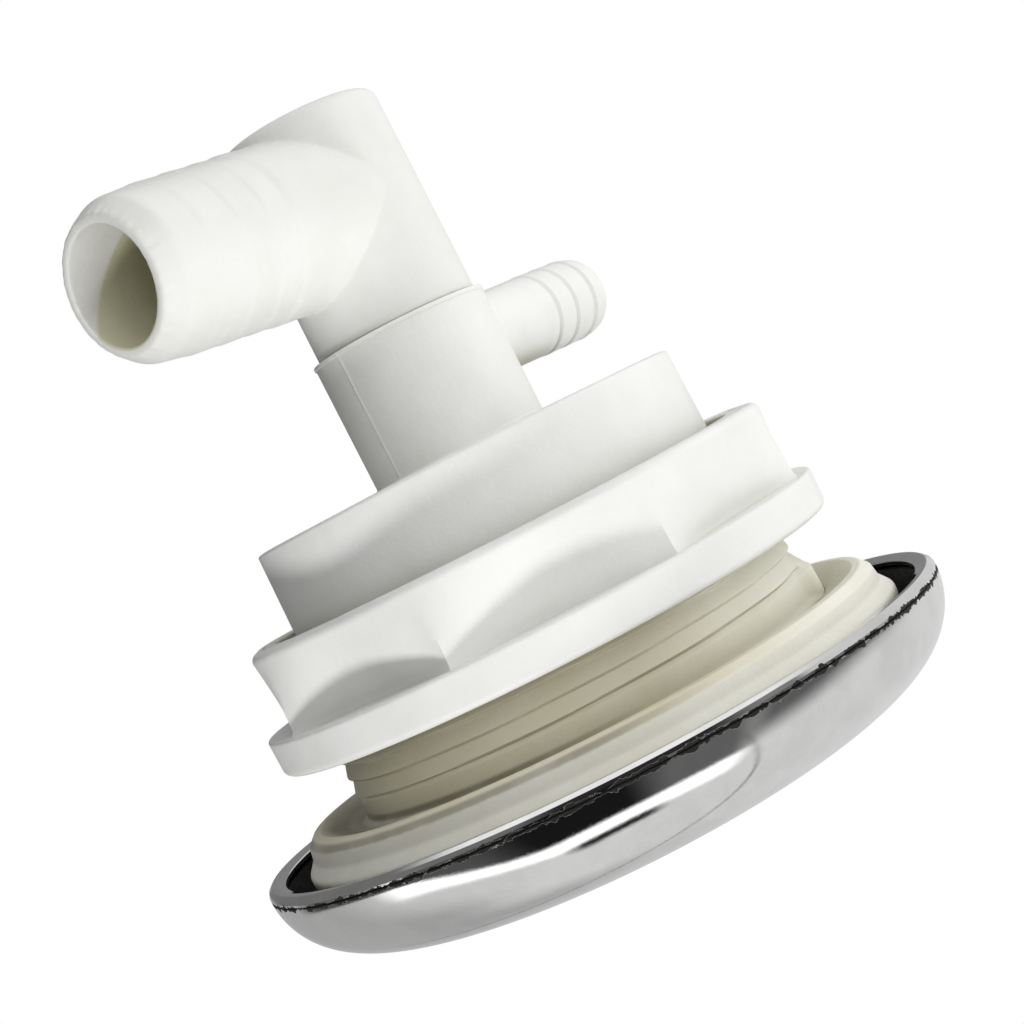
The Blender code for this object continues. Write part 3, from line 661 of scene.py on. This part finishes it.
class Nodes:
    """A small helper that adds linked shader nodes to a material's or a world's tree."""

    def __init__(self, tree):
        self.tree = tree
        self.tree.nodes.clear()

    def add(self, kind, inputs=None, **settings):
        made = self.tree.nodes.new("ShaderNode" + kind)
        for key, value in settings.items():
            setattr(made, key, value)
        for key, value in (inputs or {}).items():
            self.feed(made.inputs[key], value)
        return made

    def feed(self, socket, value):
        if isinstance(value, bpy.types.NodeSocket):
            self.tree.links.new(value, socket)
        else:
            socket.default_value = value

    def math(self, operation, first, second=0.0):
        return self.add("Math", {0: first, 1: second}, operation=operation).outputs[0]

    def product(self, first, second):
        return self.math("MULTIPLY", first, second)

    def ramp(self, value, low, high, to_low=0.0, to_high=1.0):
        """A smooth step of value between low and high."""
        inputs = {"Value": value, "From Min": low, "From Max": high, "To Min": to_low, "To Max": to_high}
        return self.add("MapRange", inputs, interpolation_type="SMOOTHSTEP").outputs[0]

    def noise(self, place, size_mm, detail=2.0, roughness=0.5):
        """Noise whose features are about size_mm across."""
        inputs = {"Vector": place, "Scale": 1.0 / (size_mm * MM), "Detail": detail, "Roughness": roughness}
        return self.add("TexNoise", inputs).outputs["Fac"]

    def mix(self, share, first, second, blend_type="MIX"):
        """Blends two colours."""
        inputs = {0: share, 6: first, 7: second}
        return self.add("Mix", inputs, data_type="RGBA", blend_type=blend_type).outputs[2]

    def blend(self, share, first, second):
        """Blends two plain values."""
        return self.add("Mix", {0: share, 2: first, 3: second}, data_type="FLOAT").outputs[0]

    def between(self, value, low, high, soft):
        """1 while value is between low and high, falling to 0 over a distance soft at either end."""
        rise = self.ramp(value, low - soft, low + soft)
        fall = self.ramp(value, high + soft, high - soft)
        return self.product(rise, fall)

    def length(self, x=0.0, y=0.0, z=0.0):
        vector = self.add("CombineXYZ", {0: x, 1: y, 2: z}).outputs[0]
        return self.add("VectorMath", {0: vector}, operation="LENGTH").outputs["Value"]

    def stretched(self, place, along_axis):
        """Coordinates that draw a noise out into rings round the object's axis."""
        return self.add("Mapping", {"Vector": place, "Scale": (1.0, 1.0, along_axis)}).outputs[0]


def colour(red, green, blue):
    return (red, green, blue, 1.0)


def new_material(name):
    """An empty material, the helper for its nodes and its object coordinates in metres."""
    made = bpy.data.materials.new(name)
    made.use_nodes = True
    nodes = Nodes(made.node_tree)
    place = nodes.add("TexCoord").outputs["Object"]
    return made, nodes, place


def finish_material(nodes, shader):
    nodes.add("OutputMaterial", {"Surface": shader.outputs[0]})


def specks(nodes, place, spacing_mm, share, size):
    """A few dark specks: small discs in a random share of the cells."""
    cells = nodes.add("TexVoronoi", {"Vector": place, "Scale": 1.0 / (spacing_mm * MM)})
    near = nodes.ramp(cells.outputs["Distance"], size, size * 0.4)
    pick = nodes.add("SeparateColor", {0: cells.outputs["Color"]}).outputs[0]
    return nodes.product(near, nodes.math("LESS_THAN", pick, share))


# Painted shade under the nut ring, on the neck and the flange's clamping face:
BROWN_SHADE = (0.71, 0.66, 0.48)
NECK_YELLOW_SHADE = (0.92, 0.87, 0.68)
FACE_DARK_SHADE = (0.36, 0.34, 0.26)
# Painted shadow in the water barb's bore:
BORE_SHADOW_BROWN = (0.64, 0.62, 0.45)
# Painted warm shade in hollows and creases:
HOLLOW_SHADE_YELLOW = (0.45, 0.44, 0.33)
# Dark specks in the plastic, and black for the ragged band in the hem's crease:
SPECK_BROWN = (0.05, 0.045, 0.035)
CREASE_BLACK = (0.015, 0.014, 0.012)


def neck_painted_shade(nodes, place, body):
    """Painted shade under the nut ring on the neck and the flange's clamping face, most on the water barb's
    side; at the far left the neck's is yellower and the face's darker.
    """
    axes = nodes.add("SeparateXYZ", {0: place}).outputs
    edge = nodes.product(nodes.math("SUBTRACT", nodes.noise(place, 3.0, 2.0), 0.5), 0.2 * MM)
    height = nodes.math("ADD", axes[2], edge)
    along = nodes.between(height, HULL - 1.15 * MM, HULL + 10.0 * MM, 0.25 * MM)
    side = nodes.ramp(axes[0], 2.0 * MM, -26.0 * MM)
    patchy = nodes.ramp(nodes.noise(place, 6.0, 3.0), 0.25, 0.6, 0.75, 0.95)
    share = nodes.product(nodes.product(along, side), patchy)
    left = nodes.ramp(axes[0], -16.0 * MM, -32.0 * MM)
    neck = nodes.mix(left, colour(*BROWN_SHADE), colour(*NECK_YELLOW_SHADE))
    face = nodes.mix(left, colour(*BROWN_SHADE), colour(*FACE_DARK_SHADE))
    shade_tone = nodes.mix(nodes.ramp(axes[2], HULL - 0.6 * MM, HULL), face, neck)
    return nodes.mix(share, body, shade_tone)


def bore_painted_shadow(nodes, place, body):
    """Painted shadow of the mouth's edge inside the water barb's bore: darker behind a slanting line, least
    deep at the bottom.
    """
    axes = nodes.add("SeparateXYZ", {0: place}).outputs
    up = nodes.math("SUBTRACT", axes[2], HULL + WATER_HEIGHT * MM)
    reach = nodes.length(y=axes[1], z=up)
    inside = nodes.ramp(reach, (WATER_BORE + 0.4) * MM, (WATER_BORE + 0.2) * MM)
    inside = nodes.product(inside, nodes.ramp(axes[0], 5.0 * MM, 3.0 * MM))
    depth = nodes.math("ADD", axes[0], WATER_REACH * MM)
    behind = nodes.math("SUBTRACT", depth, nodes.product(up, 0.8))
    share = nodes.product(inside, nodes.ramp(behind, 2.8 * MM, 3.5 * MM))
    return nodes.mix(share, body, colour(*BORE_SHADOW_BROWN))


def moulded_plastic(name, light, dark, roughness, peel, glow=0.10, speck_share=0.0, add_painted_shade=None):
    """Moulded plastic: blotchy colour, a fine skin, uneven gloss, a little light inside, painted warm shade
    in its hollows, and a piece's own painted shade or shadow where one is given.
    """
    made, nodes, place = new_material(name)
    cloudy = nodes.noise(place, 9.0, 3.0)
    body = nodes.mix(nodes.ramp(cloudy, 0.35, 0.68), colour(*light), colour(*dark))
    if speck_share:
        body = nodes.mix(specks(nodes, place, 5.5, speck_share, 0.035), body, colour(*SPECK_BROWN))
    # The piece's own painted shade or shadow, where it has one.
    if add_painted_shade:
        body = add_painted_shade(nodes, place, body)
    # Painted shade: the colour darkens and yellows in hollows and creases, where ambient occlusion is low.
    occlusion = nodes.add("AmbientOcclusion", {"Distance": 14.0 * MM}, samples=6).outputs["AO"]
    shaded_body = nodes.mix(1.0, body, colour(*HOLLOW_SHADE_YELLOW), "MULTIPLY")
    body = nodes.mix(nodes.ramp(occlusion, 0.5, 0.1), body, shaded_body)
    smear = nodes.noise(place, 3.5, 4.0)
    gloss = nodes.ramp(smear, 0.3, 0.7, roughness - 0.05, roughness + 0.07)
    waviness = nodes.product(nodes.noise(place, 2.6), 3.0)
    skin = nodes.math("ADD", nodes.noise(place, 0.45, 2.0), waviness)
    bump = nodes.add("Bump", {"Height": skin, "Strength": peel, "Distance": 0.06 * MM})
    shader = nodes.add("BsdfPrincipled", {
        "Base Color": body,
        "Roughness": gloss,
        "Normal": bump.outputs[0],
        "Subsurface Weight": glow,
        "Subsurface Radius": (1.0, 0.9, 0.7),
        "Subsurface Scale": 1.2 * MM,
        "IOR": 1.47,
    })
    finish_material(nodes, shader)
    return made


def hem_crease_band(nodes, place):
    """1 in a black, matt band along the hem's crease, with ragged edges."""
    axes = nodes.add("SeparateXYZ", {0: place}).outputs
    away = nodes.math("ABSOLUTE", nodes.math("SUBTRACT", axes[2], HULL + HEM_BAND * MM))
    blot = nodes.math("SUBTRACT", nodes.noise(place, 1.5, 3.0, 0.6), 0.45)
    ragged = nodes.product(blot, 1.8 * MM)
    band_share = nodes.ramp(nodes.math("SUBTRACT", away, ragged), 0.26 * MM, 0.20 * MM)
    reach = nodes.length(x=axes[0], y=axes[1])
    return nodes.product(band_share, nodes.ramp(reach, 47.3 * MM, 47.5 * MM))


def bright_steel():
    """Polished sheet: faint smears, fine scratches round the dome and a ragged black, matt band in the hem's
    crease.
    """
    made, nodes, place = new_material("bright_steel")
    smear = nodes.noise(place, 7.0, 5.0, 0.6)
    grain = nodes.noise(nodes.stretched(place, 14.0), 0.8, 3.0)
    gloss = nodes.ramp(smear, 0.35, 0.75, 0.02, 0.06)
    bump = nodes.add("Bump", {"Height": grain, "Strength": 0.10, "Distance": 0.03 * MM})
    tone = nodes.mix(nodes.ramp(smear, 0.3, 0.7), colour(0.83, 0.83, 0.82), colour(0.74, 0.74, 0.735))
    band_share = hem_crease_band(nodes, place)
    shader = nodes.add("BsdfPrincipled", {
        "Base Color": nodes.mix(band_share, tone, colour(*CREASE_BLACK)),
        "Metallic": nodes.math("SUBTRACT", 1.0, band_share),
        "Roughness": nodes.math("ADD", gloss, nodes.product(band_share, 0.6)),
        "Normal": bump.outputs[0],
    })
    finish_material(nodes, shader)
    return made


def plain_metal(name, tone, roughness):
    """Rolled or drawn steel with a fine grain."""
    made, nodes, place = new_material(name)
    grain = nodes.noise(nodes.stretched(place, 9.0), 0.6, 3.0)
    bump = nodes.add("Bump", {"Height": grain, "Strength": 0.25, "Distance": 0.03 * MM})
    darker = [0.85 * part for part in tone]
    shader = nodes.add("BsdfPrincipled", {
        "Base Color": nodes.mix(grain, colour(*tone), colour(*darker)),
        "Metallic": 1.0,
        "Roughness": nodes.ramp(grain, 0.3, 0.7, roughness - 0.05, roughness + 0.08),
        "Normal": bump.outputs[0],
    })
    finish_material(nodes, shader)
    return made


def seal_rubber():
    """Black rubber with a dusty bloom."""
    made, nodes, place = new_material("seal_rubber_looks")
    dusty = nodes.noise(place, 1.2, 4.0)
    bump = nodes.add("Bump", {"Height": nodes.noise(place, 0.25), "Strength": 0.3, "Distance": 0.04 * MM})
    shader = nodes.add("BsdfPrincipled", {
        "Base Color": nodes.mix(dusty, colour(0.012, 0.012, 0.012), colour(0.05, 0.05, 0.048)),
        "Roughness": nodes.ramp(dusty, 0.3, 0.7, 0.55, 0.8),
        "Normal": bump.outputs[0],
    })
    finish_material(nodes, shader)
    return made


def make_materials():
    """One material for each finish. A plastic is given its two tones, its roughness and its skin's depth."""
    ivory_tones = (0.91, 0.895, 0.80), (0.87, 0.85, 0.735)
    white_tones = (0.86, 0.86, 0.84), (0.83, 0.83, 0.805)
    # The elbow's tones are a slightly darker copy of the white plastic's.
    elbow_tones = (0.80, 0.80, 0.775), (0.77, 0.77, 0.74)
    grey_tones = (0.50, 0.51, 0.52), (0.45, 0.46, 0.47)
    black_tones = (0.003, 0.003, 0.003), (0.005, 0.005, 0.005)
    acetal_tones = (0.82, 0.82, 0.79), (0.79, 0.79, 0.76)
    return {
        # The ivory carries painted shade on its neck and flange face.
        "ivory": moulded_plastic("ivory_looks", *ivory_tones, 0.42, 0.5, 0.12, 0.05, neck_painted_shade),
        "white": moulded_plastic("white_looks", *white_tones, 0.38, 0.5, 0.10, 0.035),
        # The elbow carries painted shadow in its bore.
        "elbow": moulded_plastic("elbow_looks", *elbow_tones, 0.38, 0.5, 0.10, 0.035, bore_painted_shadow),
        "grey": moulded_plastic("grey_looks", *grey_tones, 0.42, 0.5),
        "black": moulded_plastic("black_looks", *black_tones, 0.8, 0.4, 0.0),
        "acetal": moulded_plastic("acetal_looks", *acetal_tones, 0.30, 0.3, 0.2),
        "steel": bright_steel(),
        "spring": plain_metal("spring_looks", (0.56, 0.56, 0.57), 0.3),
        "rubber": seal_rubber(),
    }


# ---------------------------------------------------------------- putting the pieces on their bodies

SHARP_ANGLE = math.radians(32.0)


def smooth(mesh):
    mesh.shade_smooth()
    mesh.set_sharp_from_angle(angle=SHARP_ANGLE)


def place_piece(piece, material, body, node):
    """Puts a piece on its body, in place of its CAD node."""
    piece.data.materials.clear()
    piece.data.materials.append(material)
    smooth(piece.data)
    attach(piece, body)
    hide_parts(node)


def build_pieces(materials):
    """Makes the pieces that stand for CAD nodes: material, body, node and the record's slot of each."""
    pieces = [
        (make_wall_fitting, "ivory", "wall_body", "wall_fitting", "ivory_plastic"),
        (make_jet_body, "white", "wall_body", "jet_body", "white_plastic"),
        (make_water_elbow, "elbow", "wall_body", "water_elbow", "white_plastic"),
        (make_lock_nut, "white", "nut", "lock_nut", "white_plastic"),
        (make_cover, "steel", "face", "escutcheon_cover", "stainless"),
        (make_carrier, "black", "face", "escutcheon_carrier", "black_plastic"),
        (make_retainer, "grey", "face", "ball_retainer", "grey_plastic"),
        (make_ball, "white", "ball", "nozzle_ball", "white_plastic"),
        (make_trim_ring, "steel", "ball", "nozzle_trim_ring", "stainless"),
    ]
    for make, material, body, node, slot in pieces:
        place_piece(make(), materials[material], body, node)


def finish_kept_nodes(materials):
    """Gives the CAD nodes that stay in view their materials."""
    kept = {
        "grey": ("venturi_nozzle", "mixing_tube", "flow_plate", "barrel"),
        "rubber": ("nozzle_o_ring", "barrel_head_o_ring", "barrel_top_o_ring"),
        "spring": ("snap_ring", "wave_spring"),
        "acetal": ("nut_washer", "ball_seat_ring"),
    }
    for material, names in kept.items():
        for name in names:
            mesh = frame["nodes"][name].data
            mesh.materials.clear()
            mesh.materials.append(materials[material])
            smooth(mesh)


# ---------------------------------------------------------------- studio

def direction(azimuth, elevation):
    """The unit vector that points at an azimuth and elevation in degrees."""
    turn = math.radians(azimuth)
    rise = math.radians(elevation)
    return Vector((math.cos(turn) * math.cos(rise), math.sin(turn) * math.cos(rise), math.sin(rise)))


CENTRE = Vector((0.0, 0.0, HULL + 33.0 * MM))
KEY_FROM = direction(-175.0, -46.0)
KEY_DISTANCE = 0.6
KEY_SIZE = 0.13
KEY_WATTS = 1.9
FILL_SIDE = direction(-62.0, 8.0)
MIRROR_GAIN = 1.24
FLOOR_SIZE = 3.0
FLOOR_HEIGHT = -0.12


def make_key_light():
    """One soft disc, low on the water barb's side."""
    data = bpy.data.lights.new("key", "AREA")
    data.shape = "DISK"
    data.size = KEY_SIZE
    data.energy = KEY_WATTS
    light = bpy.data.objects.new("key", data)
    light.location = CENTRE + KEY_FROM * KEY_DISTANCE
    light.rotation_euler = (-KEY_FROM).to_track_quat("-Z", "Y").to_euler()
    light.visible_camera = False
    light.visible_glossy = False
    COLLECTION.objects.link(light)


def facing(nodes, way, towards):
    """How nearly a direction points towards a unit vector: the cosine of the angle between them."""
    return nodes.add("VectorMath", {0: way, 1: tuple(towards)}, operation="DOT_PRODUCT").outputs["Value"]


def mirrored_walls(nodes, azimuth, elevation):
    """A pale studio, dimmer on the left."""
    dim_side = nodes.product(
        nodes.between(azimuth, 46.0, 128.0, 22.0),
        nodes.ramp(elevation, -72.0, -48.0),
    )
    return nodes.blend(dim_side, 0.59, 0.34)


def mirrored_strip(nodes, azimuth, elevation, below, level):
    """A bright strip just below the flag's edge, with one dark wedge in it."""
    strip = nodes.product(
        nodes.between(below, 0.0, 15.0, 3.0),
        nodes.between(azimuth, 137.0, 266.0, 8.0),
    )
    level = nodes.blend(strip, level, 1.25)
    wedge = nodes.product(
        nodes.between(elevation, -66.0, -57.0, 1.5),
        nodes.between(azimuth, 186.0, 232.0, 8.0),
    )
    return nodes.blend(wedge, level, 0.02)


def mirrored_flag(nodes, azimuth, elevation, below, level):
    """A dark flag above its edge, and a soft dark haze beside it on the right."""
    tone = nodes.blend(nodes.ramp(azimuth, 166.0, 190.0), 0.075, 0.008)
    tone = nodes.blend(nodes.ramp(azimuth, 220.0, 238.0), tone, 0.11)
    flag = nodes.product(nodes.ramp(below, 1.5, -1.5), nodes.between(azimuth, 96.0, 266.0, 8.0))
    level = nodes.blend(flag, level, tone)
    centre = nodes.ramp(azimuth, 262.0, 345.0, -40.0, -8.0)
    haze = nodes.ramp(nodes.math("SUBTRACT", elevation, centre), -12.0, 16.0)
    haze = nodes.product(haze, nodes.between(azimuth, 264.0, 340.0, 10.0))
    return nodes.blend(haze, level, 0.10)


def mirrored_sky(nodes, way, azimuth, elevation, level):
    """What the lip sees: bright overhead and on the right, dim on the left, dark on the near side."""
    right = nodes.ramp(facing(nodes, way, direction(-20.0, 12.0)), 0.60, 0.70)
    sky = nodes.blend(right, 0.19, 0.55)
    sky = nodes.blend(nodes.between(azimuth, 60.0, 200.0, 16.0), sky, 0.14)
    sky = nodes.blend(nodes.ramp(elevation, 46.0, 64.0), sky, 0.80)
    near = nodes.product(nodes.between(azimuth, 190.0, 264.0, 12.0), nodes.ramp(elevation, 62.0, 44.0))
    sky = nodes.blend(near, sky, 0.02)
    return nodes.blend(nodes.ramp(elevation, -8.0, 2.0), level, sky)


def mirrored_seam(nodes, way, elevation, level):
    """A thin, slightly darker seam that runs right round below."""
    away = nodes.math("ABSOLUTE", facing(nodes, way, direction(163.0, -17.0)))
    seam = nodes.product(nodes.ramp(away, 0.011, 0.005), nodes.ramp(elevation, -24.0, -36.0))
    return nodes.product(level, nodes.math("SUBTRACT", 1.0, nodes.product(seam, 0.55)))


def mirrored_studio(nodes, way):
    """The brightness that mirrors see, by azimuth (0 to 360) and elevation in degrees.

    The flag's lower edge falls from left to right, and below is how far a direction is under it.
    """
    axes = nodes.add("SeparateXYZ", {0: way}).outputs
    turn = nodes.math("DEGREES", nodes.math("ARCTAN2", axes[1], axes[0]))
    azimuth = nodes.math("FLOORED_MODULO", turn, 360.0)
    elevation = nodes.math("DEGREES", nodes.math("ARCSINE", axes[2]))
    below = nodes.math("SUBTRACT", nodes.ramp(azimuth, 138.0, 192.0, -13.0, -44.0), elevation)
    level = mirrored_walls(nodes, azimuth, elevation)
    level = mirrored_strip(nodes, azimuth, elevation, below, level)
    level = mirrored_flag(nodes, azimuth, elevation, below, level)
    level = mirrored_sky(nodes, way, azimuth, elevation, level)
    level = mirrored_seam(nodes, way, elevation, level)
    return nodes.product(level, MIRROR_GAIN)


def make_world():
    """White to the camera. Mirrors see the mirrored studio, and plastics get a soft side light."""
    world = bpy.data.worlds.new("studio")
    world.use_nodes = True
    bpy.context.scene.world = world
    nodes = Nodes(world.node_tree)
    way = nodes.add("TexCoord").outputs["Generated"]
    soft = nodes.ramp(facing(nodes, way, FILL_SIDE), -0.75, 0.95, 0.12, 1.32)
    path = nodes.add("LightPath").outputs
    level = nodes.blend(path["Is Glossy Ray"], soft, mirrored_studio(nodes, way))
    level = nodes.blend(path["Is Camera Ray"], level, 1.0)
    background = nodes.add("Background", {"Color": colour(1.0, 1.0, 1.0), "Strength": level})
    nodes.add("OutputWorld", {"Surface": background.outputs[0]})


def floor_material():
    """A glow as even as the background, slightly shaded under the object and clear from below."""
    made = bpy.data.materials.new("floor")
    made.use_nodes = True
    nodes = Nodes(made.node_tree)
    shade = nodes.add("AmbientOcclusion", {"Distance": 0.25}).outputs["AO"]
    glow = nodes.add("Emission", {"Strength": nodes.ramp(shade, 0.0, 0.9, 0.8, 1.0)})
    clear = nodes.add("BsdfTransparent")
    under = nodes.add("NewGeometry").outputs["Backfacing"]
    finish_material(nodes, nodes.add("MixShader", {0: under, 1: glow.outputs[0], 2: clear.outputs[0]}))
    return made


def make_floor():
    """A plain white floor below the object, which neither lights it nor shows in its mirrors."""
    size = FLOOR_SIZE
    mesh = bpy.data.meshes.new("floor")
    corners = [(-size, -size, 0.0), (size, -size, 0.0), (size, size, 0.0), (-size, size, 0.0)]
    mesh.from_pydata(corners, [], [(0, 1, 2, 3)])
    mesh.materials.append(floor_material())
    floor = bpy.data.objects.new("floor", mesh)
    floor.location.z = FLOOR_HEIGHT
    COLLECTION.objects.link(floor)
    floor.visible_diffuse = False
    floor.visible_glossy = False
    floor.visible_shadow = False


SENSOR_WIDTH = 36.0
LENS = 70.8
CAMERA_PLACE = Vector((-0.18926, -0.18158, HULL + 0.03164))
CAMERA_FORWARD = Vector((0.72757, 0.68563, -0.02372)).normalized()
CAMERA_RIGHT = Vector((0.60346, -0.65605, -0.45324))


def make_camera():
    """The photographer stood level with the nut, with the camera rolled."""
    data = bpy.data.cameras.new("camera")
    data.sensor_width = SENSOR_WIDTH
    data.lens = LENS
    data.clip_start = 0.01
    camera = bpy.data.objects.new("camera", data)
    right = (CAMERA_RIGHT - CAMERA_FORWARD * CAMERA_RIGHT.dot(CAMERA_FORWARD)).normalized()
    turn = Matrix((right, right.cross(CAMERA_FORWARD), -CAMERA_FORWARD)).transposed()
    camera.matrix_world = Matrix.Translation(CAMERA_PLACE) @ turn.to_4x4()
    COLLECTION.objects.link(camera)
    bpy.context.scene.camera = camera


finishes = make_materials()
build_pieces(finishes)
finish_kept_nodes(finishes)
make_key_light()
make_world()
make_floor()
make_camera()
bpy.context.scene.view_settings.view_transform = "Standard"
